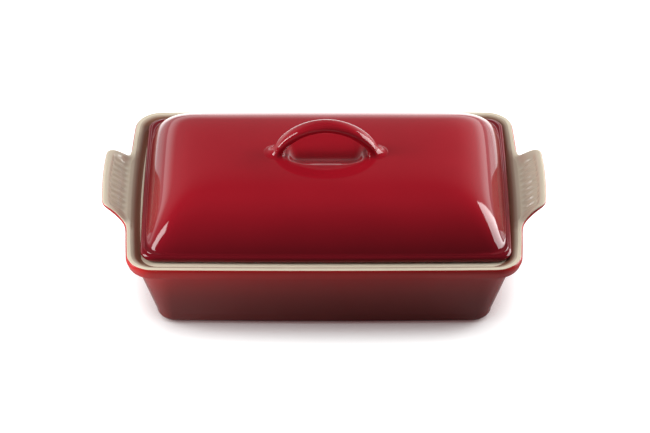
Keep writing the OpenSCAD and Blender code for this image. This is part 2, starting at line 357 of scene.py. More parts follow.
@dataclass(frozen=True)
class Glaze:
    """Fired glaze on moulded stoneware: a glassy coat over clay, with a slow ripple from the firing.

    Attributes:
        name: What the finish is called.
        top: Colour of the glaze, as seen.
        foot: Colour that it deepens to at the foot; on the slope inside the rim it is painted shade.
        fade: Heights in millimetres between which it deepens.
        fall: How fast it deepens just below the upper height; 1 is even.
        roughness: How matt the glassy coat is.
        specular: Strength of its reflection.
        ripple_mm: Spacing of the ripple.
        ripple_depth: Height of the ripple in millimetres.
        mottle: How far the colour wanders.
        pool_mm: Size of the pools in which it wanders.
    """

    name: str
    top: str
    foot: str
    fade: tuple[float, float]
    fall: float
    roughness: float
    specular: float
    ripple_mm: float
    ripple_depth: float
    mottle: float
    pool_mm: float = 45

    def build(self) -> bpy.types.Material:
        """Mix the finish from its nodes.

        Returns:
            The material.
        """
        material = bpy.data.materials.new(self.name)
        tree = empty_tree(material)
        place = add_node(tree, "TexCoord").outputs["Object"]
        height = add_node(tree, "SeparateXYZ", inputs={"Vector": place}).outputs["Z"]
        low, high = (edge * MM for edge in self.fade)
        even = add_node(tree, "MapRange", None,
                        {"Value": height, "From Min": low, "From Max": high}).outputs["Result"]
        rise = add_node(tree, "Math", {"operation": "POWER"}, {0: even, 1: self.fall}).outputs[0]
        # Deepening by height; on the slope inside the rim this is painted shade
        fade = add_node(tree, "Mix", {"data_type": "RGBA"},
                        {"Factor": rise, "A": srgb(self.foot), "B": srgb(self.top)}).outputs["Result"]
        pools = add_node(tree, "TexNoise", None,
                         {"Vector": place, "Scale": 1 / (self.pool_mm * MM), "Detail": 2.0}).outputs["Fac"]
        drift = add_node(tree, "MapRange", None,
                         {"Value": pools, "From Min": 0.3, "From Max": 0.7,
                          "To Min": 1 - self.mottle, "To Max": 1 + self.mottle}).outputs["Result"]
        colour = add_node(tree, "HueSaturation", None, {"Color": fade, "Value": drift}).outputs["Color"]
        ripple = add_node(tree, "TexNoise", None,
                          {"Vector": place, "Scale": 1 / (self.ripple_mm * MM), "Detail": 1.0}).outputs["Fac"]
        bump = add_node(tree, "Bump", None,
                        {"Height": ripple, "Strength": 1.0, "Distance": self.ripple_depth * MM}).outputs["Normal"]
        coat = add_node(tree, "BsdfPrincipled", None,
                        {"Base Color": colour, "Roughness": self.roughness, "IOR": 1.5,
                         "Specular IOR Level": self.specular, "Normal": bump})
        add_node(tree, "OutputMaterial", None, {"Surface": coat.outputs["BSDF"]})
        return material


# Red glaze: sprayed over the outside, clear and deep, and darker where it was built up towards the foot
RED_LID = Glaze("red_glaze_lid", top="#a81625", foot="#760e1b", fade=(74, 104), fall=1.0,
                roughness=0.06, specular=0.5, ripple_mm=26, ripple_depth=0.012, mottle=0.03)
RED_DISH = Glaze("red_glaze_dish", top="#b52626", foot="#783230", fade=(5, 66), fall=2.8,
                 roughness=0.16, specular=0.35, ripple_mm=26, ripple_depth=0.012, mottle=0.03)
# Cream glaze: an opaque tin-white over buff clay, brushed and poured on the inside, the rim and the handles
CREAM = Glaze("cream_glaze", top="#eaddc6", foot="#eaddc6", fade=(60, 72), fall=1.0,
              roughness=0.08, specular=0.5, ripple_mm=18, ripple_depth=0.008, mottle=0.015)
# The same cream glaze on the slope inside the rim, brown from the rim's top down to the ledge as painted shade,
# reddened as a painted reflection of the lid
SHADED_SLOPE_CREAM = replace(CREAM, name="cream_glaze_painted_shade", foot="#885d4b", fade=(70.2, 72.0), fall=2.0)


# ---------------- the dish


@dataclass
class TabHandle:
    """The tab handle at each end of the dish, with a hollow, fluted upper face inside a raised margin.

    Attributes:
        tip_x: How far its tip stands from the dish's middle.
        tip_bow: How far its tip falls back towards its corners.
        rise: Height of its tip above the rim.
        thick: Thickness.
        edge_drop: How far the outermost line lies below the upper face.
        edge_t: Thickness of the rounded edge.
        under_w: Width of the band where the underside rounds up to the edge.
        margin: Width of the raised margin at the tip.
        hollow: Depth of the hollow.
        dip: Depth of the hollow beside the rim.
        flutes: Number of flutes.
        pitch: Distance from one flute to the next.
        depth: Depth of a flute.
        root_y: Where the side has run out into the rim, from the dish's middle line.
        run_out: Reach beyond the rim from which the section is all the handle's.
        side: Outline of the side, from the tip's corner to the rim, as distances from the dish's middle.
        curve: The smooth curve through that outline.
    """

    tip_x: float = 186.5
    tip_bow: float = 2.0
    rise: float = 13.0
    thick: float = 8.0
    edge_drop: float = 1.5
    edge_t: float = 2.7
    under_w: float = 16.0
    margin: float = 5.5
    hollow: float = 1.4
    dip: float = 0.7
    flutes: int = 9
    pitch: float = 7.7
    depth: float = 2.2
    root_y: float = 60.0
    run_out: float = 7.0
    side: tuple[tuple[float, float], ...] = (
        (185.45, 31.0), (185.1, 34.65), (184.4, 37.4), (182.4, 40.0), (179.5, 41.6), (176.0, 42.7),
        (172.0, 44.1), (169.0, 45.8), (167.0, 48.2), (166.0, 51.6), (165.45, 55.4), (165.1, 60.0),
        (164.9, 64.0))
    curve: list[tuple[float, float]] = field(default_factory=list)

    def __post_init__(self) -> None:
        """Run the side's curve through its points."""
        self.curve = spline(self.side, 12)

    @property
    def flute_half(self) -> float:
        """Half the width of the fluted field."""
        return self.flutes * self.pitch / 2

    def tip(self, y: float) -> float:
        """Return how far the tip's edge stands from the dish's middle at y."""
        return self.tip_x - self.tip_bow * (y / 41.5) ** 2

    def from_side(self, x: float, y: float) -> float:
        """Return how far a point lies from the handle's side and the rim beside it."""
        return min(math.hypot(x - px, abs(y) - py) for px, py in self.curve)

    def crest(self, x: float, rim_x: float, rim_z: float) -> float:
        """Return the height of the raised margin, which rises from the rim to the tip.

        Args:
            x: Distance from the dish's middle.
            rim_x: That of the rim.
            rim_z: Height of the rim.

        Returns:
            The height.
        """
        w = (x - rim_x) / (self.tip_x - rim_x)
        eased = clamp((w + math.sqrt(w * w + 0.012)) / 2)
        return rim_z + self.rise * (1 - (1 - eased) ** 1.9)

    def sunk(self, x: float, y: float, rim_x: float) -> float:
        """Return how deep the upper face lies below its margin at a point.

        Args:
            x: The point's distance from the dish's middle.
            y: Its distance from the middle line.
            rim_x: The rim's distance from the dish's middle.

        Returns:
            The depth.
        """
        from_tip = self.tip(min(abs(y), self.flute_half)) - x
        field_share = smooth((from_tip - self.margin + 0.6) / 2.2) * smooth((self.from_side(x, y) - 3.0) / 4.5)
        reach = smooth((x - rim_x + 1.0) / 5.0) * smooth((from_tip - self.margin) / 2.2)
        return mix(self.dip, self.hollow, smooth((x - rim_x + 4.5) / 9.0)) * field_share + self.flute(y) * reach

    def flute(self, y: float) -> float:
        """Return the depth of the flutes across y.

        Args:
            y: Distance from the middle line.

        Returns:
            The depth.
        """
        if abs(y) >= self.flute_half:
            return 0.0
        t = y / self.pitch + self.flutes / 2
        return self.depth * (1 - (2 * (t - math.floor(t)) - 1) ** 2) ** 1.25


@dataclass
class Dish:
    """The dish, one casting with a tab handle at each end. Insets are from the rim's outside.

    Attributes:
        half_l: Half its length at the rim, without the handles.
        half_w: Half its width there.
        rim_z: Height of the rim.
        end_bow: Bow of the ends.
        side_bow: Bow of the long sides.
        corner: Corner radius of the rim.
        flange_z: Height of the flange's underside.
        flange_end_out: Inset of the wall under the flange at the ends.
        flange_side_out: Inset of it at the long sides.
        flange_in: Inset of the flange's lower edge.
        foot_end_in: Inset of the wall's foot at the ends.
        foot_side_in: Inset of it at the long sides.
        foot_r: Radius round the foot.
        body_corner: Corner radius of the wall under the flange.
        foot_corner: Corner radius of the wall's foot.
        wall: Wall thickness.
        floor: Floor thickness.
        fillet: Radius between the two.
        top_in: Inset of the slope's top.
        ledge_in: Inset of the slope's foot at the long sides.
        ledge_end_in: Inset of it at the ends.
        mouth_in: Inset of the ledge's inner edge.
        ledge_z: Height of the ledge.
        edge_r: Width of the rounding along the rim.
        edge_fall: Height of that rounding.
        tab: The handle at each end.
        lines: The vertex lines.
        outer: The outermost point on each line.
    """

    half_l: float = 166.3
    half_w: float = 115.4
    rim_z: float = 72.0
    end_bow: float = 4.3
    side_bow: float = 1.3
    corner: float = 21.0
    flange_z: float = 62.0
    flange_end_out: float = 7.0
    flange_side_out: float = 5.0
    flange_in: float = 2.4
    foot_end_in: float = 25.8
    foot_side_in: float = 19.8
    foot_r: float = 9.0
    body_corner: float = 31.0
    foot_corner: float = 14.0
    wall: float = 8.0
    floor: float = 8.0
    fillet: float = 14.0
    top_in: float = 5.0
    ledge_in: float = 10.5
    ledge_end_in: float = 12.2
    mouth_in: float = 19.0
    ledge_z: float = 68.0
    edge_r: float = 1.8
    edge_fall: float = 3.0
    tab: TabHandle = field(default_factory=TabHandle)
    lines: list[Line] = field(default_factory=list)
    outer: list[Vector] = field(default_factory=list)

    RED = 0
    CREAM = 1
    # Glaze of the slope inside the rim, which carries painted shade
    SLOPE = 2

    def __post_init__(self) -> None:
        """Lay out the vertex lines, close together across the handles, and their outermost points."""
        straight = self.half_w - self.side_bow - self.corner
        flute_y = [self.tab.pitch * (i / 6 - self.tab.flutes / 2) for i in range(self.tab.flutes * 6 + 1)]
        side_n, root_y, plain_n = 18, self.tab.root_y, 7
        side_y = [mix(self.tab.flute_half, root_y, i / side_n) for i in range(1, side_n + 1)]
        plain_y = [mix(root_y, straight, i / plain_n) for i in range(1, plain_n)]
        half = side_y + plain_y
        ys = [y for y in reversed(half)] + [-y for y in flute_y] + [-y for y in half]
        self.lines = vertex_lines(12, 44, [y / straight for y in ys])
        outline = along(self.tab.curve, side_n + 1)
        rim = self.ring(0.0, self.rim_z)
        for line in self.lines:
            point = rim.at(line)
            if line.side is Side.END:
                y = abs(line.share) * straight
                if y <= self.tab.flute_half + 1e-6:
                    point.x = line.sx * self.tab.tip(y)
                elif y < root_y - 1e-6:
                    k = round((y - self.tab.flute_half) / (root_y - self.tab.flute_half) * side_n)
                    point.x = line.sx * outline[k][0]
                    point.y = math.copysign(outline[k][1], line.share)
            self.outer.append(point)

    def ring(self, inset: float, z: float, corner: float | None = None) -> Ring:
        """Return a ring that stands in from the rim's outside by inset all round."""
        return Ring(self.half_l - inset, self.half_w - inset, self.corner - inset if corner is None else corner,
                    z, self.end_bow, self.side_bow)

    def wall_ring(self, t: float, z: float, inward: float = 0.0, least: float = 0.0) -> Ring:
        """Return a ring of the sloping wall, t from 0 at the foot's edge to 1 under the flange.

        Args:
            t: Share of the way up the wall.
            z: Height of the ring.
            inward: How far it stands in from the wall's outside.
            least: The least that it stands in from the rim's outside.

        Returns:
            The ring.
        """
        end_in = max(least, mix(self.foot_end_in, self.flange_end_out, t) + inward)
        side_in = max(least, mix(self.foot_side_in, self.flange_side_out, t) + inward)
        return Ring(self.half_l - end_in, self.half_w - side_in,
                    max(4.0, mix(self.foot_corner, self.body_corner, t) - inward), z,
                    mix(self.end_bow / 4, self.end_bow * 0.6, t), mix(self.side_bow * 1.4, self.side_bow, t))

    def points(self, ring: Ring) -> list[Vector]:
        """Return where all vertex lines cross a ring."""
        return [ring.at(line) for line in self.lines]

    def foot_ring(self, back: float, z: float) -> Ring:
        """Return a ring that stands in from the wall's foot by back."""
        return Ring(self.half_l - self.foot_end_in - back, self.half_w - self.foot_side_in - back,
                    max(3.0, self.foot_corner - back / 2), z, self.end_bow / 4, self.side_bow * 1.4)

    def body_rings(self) -> list[list[Vector]]:
        """Work out the rings from the flat foot up to the flange's lower edge.

        Returns:
            The rings' points, from the foot up.
        """
        rings = [self.foot_ring(self.foot_r + inset, 0.0) for inset in (34.0, 12.0, 1.5)]
        turns = [math.pi / 2 * k / 8 for k in range(8)]
        rings += [self.foot_ring(self.foot_r * (1 - math.sin(turn)), self.foot_r * (1 - math.cos(turn)))
                  for turn in turns]
        top = self.flange_z - 1.6
        rings += [self.wall_ring(t / 10, mix(self.foot_r, top, t / 10)) for t in range(11)]
        rows = [self.points(ring) for ring in rings]
        wall, under = rows[-1], self.points(self.ring(self.flange_in, self.flange_z))
        for share, rise in ((0.12, 0.55), (0.38, 0.9), (0.7, 0.98)):
            z = mix(top, self.flange_z, rise)
            rows.append([between(p, q, share, z) for p, q in zip(wall, under)])
        return rows

    def flange_point(self, w: float, low: Vector, edge: Vector, out: Vector) -> Vector:
        """Place one point of the flange's outside, or of a handle's underside.

        Args:
            w: Share of the way in from out to low.
            low: The point on the flange's lower edge.
            edge: The point on the rim's outside.
            out: The outermost point.

        Returns:
            The point.
        """
        tab, turn_under = self.tab, 0.94
        handle = smooth((out - edge).xy.length / tab.run_out)
        share = mix(smooth((w - 0.05) / 0.95) * 0.7 + 0.3 * smooth((w - 0.9) / 0.1), w, handle)
        x, y = mix(out.x, low.x, share), mix(out.y, low.y, share)
        z_rim = mix(self.rim_z - self.edge_fall, self.flange_z + 0.9, clamp(w / turn_under))
        z_rim = mix(z_rim, self.flange_z, smooth((w - turn_under) / (1 - turn_under)))
        away = w * (out - low).xy.length
        belly = max(0.0, 1 - away / tab.under_w) ** 1.5
        crest = tab.crest(abs(x), self.half_l, self.rim_z)
        z_tab = crest - tab.thick + (tab.thick - tab.edge_t) * belly
        curl = math.sqrt(max(0.0, 1 - clamp(1 - away / 1.2) ** 2))
        z_tab = mix(crest - tab.edge_drop, z_tab, curl)
        z_tab = mix(z_tab, self.flange_z, smooth((w - 0.84) / 0.16))
        return Vector((x, y, mix(z_rim, z_tab, handle)))

    def flange_rings(self) -> list[list[Vector]]:
        """Work out the rings from the flange's lower edge out to the outermost line, under the handles too.

        Returns:
            The rings' points, from the flange's lower edge out.
        """
        lows = self.points(self.ring(self.flange_in, self.flange_z))
        rim = self.points(self.ring(0.0, self.rim_z))
        shares = (1.0, 0.985, 0.96, 0.92, 0.86, 0.78, 0.68, 0.57, 0.46, 0.36, 0.27, 0.19, 0.12, 0.07, 0.035, 0.01)
        return [[self.flange_point(w, *place) for place in zip(lows, rim, self.outer)] for w in shares]

    def top_point(self, k: int, share: float, low: Vector, edge: Vector, out: Vector) -> Vector:
        """Place one point of the upper face.

        Args:
            k: Number of its ring, from out to low.
            share: Share of the way in from out to low.
            low: The point at the top of the slope.
            edge: The point on the rim's outside.
            out: The outermost point.

        Returns:
            The point.
        """
        tab, length = self.tab, (out - low).xy.length
        handle = smooth((out - edge).xy.length / tab.run_out)
        w = share * (1.0 - 0.7 * handle * smooth((8 - k) / 5))
        w = mix(w, 1.0, 0.19 * smooth(k / 4) * (1.0 - handle))
        x, y = mix(out.x, low.x, w), mix(out.y, low.y, w)
        away = w * length
        roll = 1 - math.sqrt(max(0.0, 1 - clamp(1 - away / self.edge_r) ** 2))
        drop = mix(self.edge_fall, tab.edge_drop, handle) * roll
        crest = tab.crest(abs(x), self.half_l, self.rim_z) if handle > 0 else self.rim_z
        inner_roll = 0.4 * smooth(1 - (length - away) / 1.2)
        near = smooth((tab.root_y - abs(y)) / 9.0)
        sunk = tab.sunk(abs(x), y, self.half_l) * near if near > 0 else 0.0
        return Vector((x, y, mix(self.rim_z, crest, handle) - drop - inner_roll - sunk))

    def top_rings(self) -> list[tuple[list[Vector], int]]:
        """Work out the rings of the upper face, down to the top of the slope.

        Returns:
            The rings' points, from the outermost line in, each with the index of its glaze.
        """
        inner = self.points(self.ring(self.top_in, self.rim_z))
        rim = self.points(self.ring(0.0, self.rim_z))
        gaps = (0.0, 0.12, 0.4, 0.75, 1.2, 2.0, 3.2, 4.4, 5.4, 6.2, 7.0, 7.8, 8.8, 10.2, 12.0, 14.0, 16.0, 18.0,
                19.8, 21.4, 22.8, 24.0, 25.2)
        first_cream, first_slope = 5, 20
        rings = []
        for k, gap in enumerate(gaps):
            glaze = self.RED if k < first_cream else self.CREAM if k < first_slope else self.SLOPE
            rings.append(([self.top_point(k, gap / gaps[-1], *place) for place in zip(inner, rim, self.outer)], glaze))
        return rings

    def slope_rings(self) -> list[list[Vector]]:
        """Work out the rings of the slope from the rim's top down to the ledge.

        Returns:
            The rings' points, from the top down.
        """
        tops = self.top_rings()[-1][0]
        ledge = Ring(self.half_l - self.ledge_end_in, self.half_w - self.ledge_in, self.corner - self.top_in - 3.0,
                     self.ledge_z, self.end_bow, self.side_bow)
        rings = []
        for share, fall in ((0.12, 0.06), (0.25, 0.15), (0.38, 0.28), (0.5, 0.43), (0.62, 0.6), (0.73, 0.77),
                            (0.83, 0.9), (0.92, 0.975), (1.0, 1.0)):
            rings.append([between(top, low, share, mix(top.z, low.z, fall))
                          for top, low in zip(tops, self.points(ledge))])
        return rings

    def inner_rings(self) -> list[list[Vector]]:
        """Work out the rings from the ledge down over the inner wall and the floor.

        Returns:
            The rings' points, from the ledge in.
        """
        rings = []
        for inset in (self.ledge_end_in + 1.8, self.mouth_in - 3.0, self.mouth_in - 1.2):
            rings.append(self.points(self.ring(inset, self.ledge_z, 12.0)))
        wall_top = self.flange_z - 0.8
        fillet_z = self.floor + self.fillet
        for z in (self.ledge_z - 0.35, self.ledge_z - 1.2, 58.0, 46.0, 34.0, fillet_z):
            t = (z - self.foot_r) / (wall_top - self.foot_r)
            extra = 0.35 if z > self.ledge_z - 0.5 else 0.0
            rings.append(self.points(self.wall_ring(t, z, self.wall - extra, self.mouth_in - extra)))
        t = (fillet_z - self.foot_r) / (wall_top - self.foot_r)
        for turn in (math.pi / 2 * k / 8 for k in range(1, 9)):
            rings.append(self.points(self.wall_ring(t, fillet_z - self.fillet * math.sin(turn),
                                                    self.wall + self.fillet * (1 - math.cos(turn)), self.mouth_in)))
        for inset in (20.0, 45.0):
            rings.append(self.points(self.wall_ring(t, self.floor, self.wall + self.fillet + inset)))
        return rings

    def build(self) -> bpy.types.Object:
        """Grow the dish ring by ring from the middle of its foot to the middle of its floor.

        Returns:
            The finished dish, in its glazes.
        """
        body = self.body_rings()
        loft = Loft(body[0])
        loft.cap(self.RED)
        for ring in body[1:] + self.flange_rings():
            loft.grow(ring, self.RED)
        for ring, glaze in self.top_rings():
            loft.grow(ring, glaze)
        for ring in self.slope_rings():
            loft.grow(ring, self.SLOPE)
        for ring in self.inner_rings():
            loft.grow(ring, self.CREAM)
        loft.cap(self.CREAM)
        return finish_mesh(loft.bm, "baking_dish", (RED_DISH.build(), CREAM.build(), SHADED_SLOPE_CREAM.build()))


# ---------------- the lid


@dataclass
class Lid:
    """The lid, one casting: bead, crown, finger hollow and loop handle.

    Attributes:
        off_x: Offset from the dish's middle to the right.
        off_y: Offset to the back.
        half_l: Half its length.
        half_w: Half its width.
        corner: Corner radius.
        bow_l: Bow of the ends.
        bow_w: Bow of the long sides.
        seat_z: Height of the ledge under it.
        edge_t: Thickness of the bead.
        edge_w: Width of the bead.
        shoulder_z: Height of the crown's shoulder.
        dome: Rise from there to its middle.
        power: Steepness of its start at the bead.
        end_run: Run of its slope at the ends over that at the sides.
        hip_blend: Rounding of the hips between the slopes.
        wall: Thickness of the wall.
        bearing_w: Width of the flat face under the edge.
        hollow_l: Length of the finger hollow.
        hollow_w: Twice its reach to the front.
        hollow_back: Its reach to the back over its reach to the front.
        hollow_d: Its depth.
        hollow_power: Squareness of its outline; 2 is an ellipse.
        lip_steep: Steepness of its lip.
        loop_half: Half the distance between the handle's feet.
        loop_h: Height of the handle's arch.
        loop_power: Pointedness of the arch.
        bar_w: Width of the handle's bar.
        bar_t: Thickness of the bar.
        bar_power: Roundness of its section; 1 is an ellipse.
        flare: Spread of its feet to the sides, outward and inward.
        lines: The vertex lines.
    """

    off_x: float = 1.6
    off_y: float = 1.5
    half_l: float = 154.0
    half_w: float = 101.9
    corner: float = 12.0
    bow_l: float = 1.2
    bow_w: float = 1.3
    seat_z: float = 68.0
    edge_t: float = 6.2
    edge_w: float = 6.0
    shoulder_z: float = 106.5
    dome: float = 2.2
    power: float = 4.5
    end_run: float = 0.85
    hip_blend: float = 9.0
    wall: float = 7.0
    bearing_w: float = 4.0
    hollow_l: float = 68.0
    hollow_w: float = 40.0
    hollow_back: float = 1.4
    hollow_d: float = 6.0
    hollow_power: float = 2.3
    lip_steep: float = 24.0
    loop_half: float = 40.5
    loop_h: float = 26.4
    loop_power: float = 1.42
    bar_w: float = 14.0
    bar_t: float = 9.0
    bar_power: float = 0.84
    flare: tuple[float, float, float] = (3.0, 8.5, 1.5)
    lines: list[Line] = field(default_factory=list)

    RED = 0
    CREAM = 1

    def __post_init__(self) -> None:
        """Lay out the vertex lines."""
        self.lines = vertex_lines(14, 56, [1 - 2 * i / 36 for i in range(1, 36)])

    def ring(self, inset: float, z: float) -> Ring:
        """Return a ring that stands in from the lid's outline by inset, and by a little less at the ends.

        Args:
            inset: How far it stands in at the long sides.
            z: Its height.

        Returns:
            The ring.
        """
        half_w = self.half_w - inset
        share = half_w / self.half_w
        end_in = min(inset, self.edge_w) + max(0.0, inset - self.edge_w) * self.end_run
        return Ring(self.half_l - end_in, half_w, min(self.corner, half_w - self.bow_w * share - 0.5), z,
                    self.bow_l * share, self.bow_w * share)

    def points(self, ring: Ring) -> list[Vector]:
        """Return where all vertex lines cross a ring, about the lid's own middle."""
        return [ring.at(line) for line in self.lines]

    def inset_at(self, x: float, y: float) -> float:
        """Return how far inside the lid's outline a point lies, rounded over at the hips.

        Args:
            x: The point's distance from the lid's middle, along it.
            y: Its distance across it.

        Returns:
            The distance.
        """
        side = self.half_w - abs(y) - self.bow_w * (x / self.half_l) ** 2
        end = self.half_l - abs(x) - self.bow_l * (y / self.half_w) ** 2
        end = self.edge_w + (end - self.edge_w) / self.end_run
        return soft_min(side, end, self.hip_blend)

    def dome_at(self, inset: float, start: float, foot: float, top: float) -> float:
        """Return the height of a crown: steep at its foot, nearly level on top."""
        t = clamp((inset - start) / (self.half_w - 4.5 - start))
        return top - (top - foot) * (1 - t) ** self.power + self.dome * t * t * (3 - 2 * t)

    def oval(self, x: float, y: float) -> float:
        """Return a point's share of the way out from the middle of the finger hollow to its rim.

        Args:
            x: The point's distance from the lid's middle, along it.
            y: Its distance across it.

        Returns:
            The share.
        """
        back = self.hollow_back if y > 0 else 1.0
        across, deep = abs(2 * x / self.hollow_l), abs(2 * y / (self.hollow_w * back))
        return (across ** self.hollow_power + deep ** self.hollow_power) ** (1 / self.hollow_power)

    def hollow_at(self, x: float, y: float) -> float:
        """Return how deep the finger hollow is at a point.

        Its front is one soft roll, its back rises gently, and its ends are steep under the handle's feet.

        Args:
            x: The point's distance from the lid's middle, along it.
            y: Its distance across it.

        Returns:
            The depth.
        """
        half_w = self.hollow_w / 2
        front = smoother((y + half_w + 2.5) / (half_w + 4.0))
        back = smooth((half_w * self.hollow_back + 3.0 - y) / (half_w + 14.0))
        scoop = self.hollow_d * front * back
        lip = -soft_min(-self.lip_steep * (1 - self.oval(x, y)), 0.0, 0.5)
        ends = 1 - smoother((abs(x) - self.hollow_l / 2 + 6.0) / 8.0)
        return ends * max(0.0, soft_min(scoop, lip, 0.8))

    def top_at(self, x: float, y: float) -> float:
        """Return the height of the lid's upper face.

        Args:
            x: The point's distance from the lid's middle, along it.
            y: Its distance across it.

        Returns:
            The height.
        """
        inset = self.inset_at(x, y)
        crown = self.dome_at(inset, self.edge_w - 2.5, self.seat_z + self.edge_t - 0.3, self.shoulder_z)
        bead = self.seat_z + self.edge_t - 0.02 * max(0.0, inset - self.edge_t / 2) ** 2
        return -soft_min(-crown, -bead, 0.8) - self.hollow_at(x, y)

    def under_at(self, x: float, y: float) -> float:
        """Return the height of the lid's underside, which follows the hollow.

        Args:
            x: The point's distance from the lid's middle, along it.
            y: Its distance across it.

        Returns:
            The height.
        """
        start = self.edge_w + self.bearing_w
        crown = self.dome_at(self.inset_at(x, y), start, self.seat_z, self.shoulder_z - self.wall)
        bowl = self.shoulder_z + self.dome - self.wall + 0.2 - self.hollow_at(x * 0.86, y * 0.86)
        return soft_min(crown, bowl, 0.8)

    def plan(self) -> list[list[Vector]]:
        """Work out the crown's rings in plan, from its foot in to the middle of the finger hollow.

        Returns:
            The rings' points, from the crown's foot in.
        """
        count, start, last = 48, self.edge_t / 2, 48.0
        rings = [self.points(self.ring(mix(start, last, (k / count) ** 1.6), 0.0)) for k in range(1, count + 1)]
        outer = rings[-1]
        shares = [1.5 - 0.05 * k for k in range(30)]
        rims = []
        for p in outer:
            turn = math.atan2(p.y / self.hollow_w, p.x / self.hollow_l)
            x, y = math.cos(turn) * self.hollow_l / 2, math.sin(turn) * self.hollow_w / 2
            rim = Vector((x, y * (self.hollow_back if y > 0 else 1.0), 0.0))
            rims.append(rim / self.oval(rim.x, rim.y))
        steps = 12
        for k in range(1, steps):
            t = mix(smooth(k / steps), k / steps, 0.5)
            rings.append([p.lerp(q * shares[0], t) for p, q in zip(outer, rims)])
        rings += [[q * share for q in rims] for share in shares]
        return rings

    def shell(self) -> bmesh.types.BMesh:
        """Grow the crown and its edge as one closed mesh, about the lid's own middle.

        Returns:
            The closed mesh.
        """
        plan = self.plan()
        start = self.edge_w + self.bearing_w
        under = [[Vector((p.x, p.y, self.under_at(p.x, p.y))) for p in ring] for ring in reversed(plan)
                 if max(abs(p.y) for p in ring) < self.half_w - start - 0.5]
        loft = Loft(under[0])
        loft.cap(self.CREAM)
        for ring in under[1:]:
            loft.grow(ring, self.CREAM)
        r = self.edge_t / 2
        loft.grow(self.points(self.ring(start, self.seat_z)), self.CREAM)
        loft.grow(self.points(self.ring(r + 1.5, self.seat_z)), self.CREAM)
        for k in range(13):
            turn = math.pi * (k / 12 - 0.5)
            loft.grow(self.points(self.ring(r * (1 - math.cos(turn)), self.seat_z + r * (1 + math.sin(turn)))),
                      self.CREAM if k < 2 else self.RED)
        for ring in plan:
            loft.grow([Vector((p.x, p.y, self.top_at(p.x, p.y))) for p in ring], self.RED)
        loft.cap(self.RED)
        return loft.bm

    def bar_path(self, t: float) -> Vector:
        """Return the middle of the loop's bar, t from -1 at one foot to 1 at the other."""
        turn = math.radians(90 * t)
        return Vector((self.loop_half * math.sin(turn), 0.0,
                       self.shoulder_z + self.dome + self.loop_h * max(0.0, math.cos(turn)) ** self.loop_power))

    def bar(self) -> bmesh.types.BMesh:
        """Grow the loop's bar, whose feet spread level onto the crown, as one closed mesh.

        Returns:
            The closed mesh.
        """
        sides, steps, reach = 48, 56, 0.8
        middles = [mix(-reach, reach, i / steps) for i in range(steps + 1)]
        sections = []
        for t in middles:
            here, ahead = self.bar_path(t), self.bar_path(t + 0.005) - self.bar_path(t - 0.005)
            ahead.normalize()
            out = Vector((-ahead.z, 0.0, ahead.x))
            ring = []
            for j in range(sides):
                turn = math.tau * j / sides
                c, s = (math.copysign(abs(part) ** self.bar_power, part) for part in (math.cos(turn), math.sin(turn)))
                ring.append(here + Vector((0.0, c * self.bar_w / 2, 0.0)) + out * (s * self.bar_t / 2))
            sections.append(ring)
        first, last = self.foot(sections[0], -1), self.foot(sections[-1], 1)
        loft = Loft(first[-1])
        loft.cap(self.RED)
        for ring in first[-2::-1] + sections + last:
            loft.grow(ring, self.RED)
        loft.cap(self.RED)
        return loft.bm

    def foot(self, section: Sequence[Vector], end: int) -> list[list[Vector]]:
        """Spread one end of the bar onto the crown.

        Args:
            section: The bar's section there.
            end: Which end, 1 or -1.

        Returns:
            The rings from that section down to just inside the crown.
        """
        middle = sum((Vector(p) for p in section), Vector()) / len(section)
        down = (self.bar_path(end) - self.bar_path(0.93 * end)).normalized()
        to_side, to_outside, to_inside = self.flare
        rings = []
        for share in (0.08, 0.16, 0.25, 0.34, 0.43, 0.52, 0.61, 0.69, 0.76, 0.82, 0.87, 0.91, 0.945, 0.97, 0.985,
                      0.995, 1.0, 1.02):
            ring = []
            for p in section:
                away = Vector((p.x - middle.x, p.y, 0.0)).normalized()
                outward, inward = max(0.0, away.x * end), max(0.0, -away.x * end)
                flare = mix(mix(to_side, to_outside, outward), to_inside, inward)
                gap = p.z - self.top_at(p.x, p.y)
                level = 1 - share
                spread = flare * mix((1 - math.sqrt(max(0.0, level))) ** 2, share, 0.4 * outward)
                slip = down * (gap * share / abs(down.z))
                x, y = p.x + slip.x * 0.8 + away.x * spread, p.y + away.y * spread
                ring.append(Vector((x, y, self.top_at(x, y) + gap * level)))
            rings.append(ring)
        return rings

    def build(self) -> bpy.types.Object:
        """Join the shell and the loop handle.

        Returns:
            The finished lid, in its two glazes.
        """
        shell, bar = self.shell(), self.bar()
        loose = bpy.data.meshes.new("loop_handle")
        bmesh.ops.recalc_face_normals(bar, faces=bar.faces)
        bar.to_mesh(loose)
        bar.free()
        shell.from_mesh(loose)
        bpy.data.meshes.remove(loose)
        bmesh.ops.translate(shell, vec=(self.off_x, self.off_y, 0.0), verts=shell.verts)
        return finish_mesh(shell, "baking_dish_lid", (RED_LID.build(), CREAM.build()))


# ---------------- the studio


@dataclass(frozen=True)
class Glow:
    """A soft patch of light on the background behind the object.

    Each edge is a pair of shares of a direction, between which the patch comes up to full.

    Attributes:
        strength: Its brightness.
        top: Its upper edge.
        left: Its left edge.
        right: Its right edge.
    """

    strength: float
    top: tuple[float, float]
    left: tuple[float, float] = (-3.0, -2.0)
    right: tuple[float, float] = (3.0, 2.0)

    def add_to(self, tree: Tree, parts: bpy.types.Node, glow: Socket | float) -> Socket:
        """Add the patch to the room's brightness.

        Args:
            tree: The room's node tree.
            parts: The node that gives a direction's X, Y and Z.
            glow: The brightness so far.

        Returns:
            The brightness with this patch.
        """
        share: Socket | float = self.strength
        for axis, (start, full) in (("Z", self.top), ("X", self.left), ("X", self.right), ("Y", (0.0, 0.3))):
            edge = add_node(tree, "MapRange", {"interpolation_type": "SMOOTHSTEP"},
                            {"Value": parts.outputs[axis], "From Min": start, "From Max": full}).outputs["Result"]
            share = add_node(tree, "Math", {"operation": "MULTIPLY"}, {0: edge, 1: share}).outputs[0]
        return add_node(tree, "Math", {"operation": "ADD"}, {0: share, 1: glow}).outputs[0]


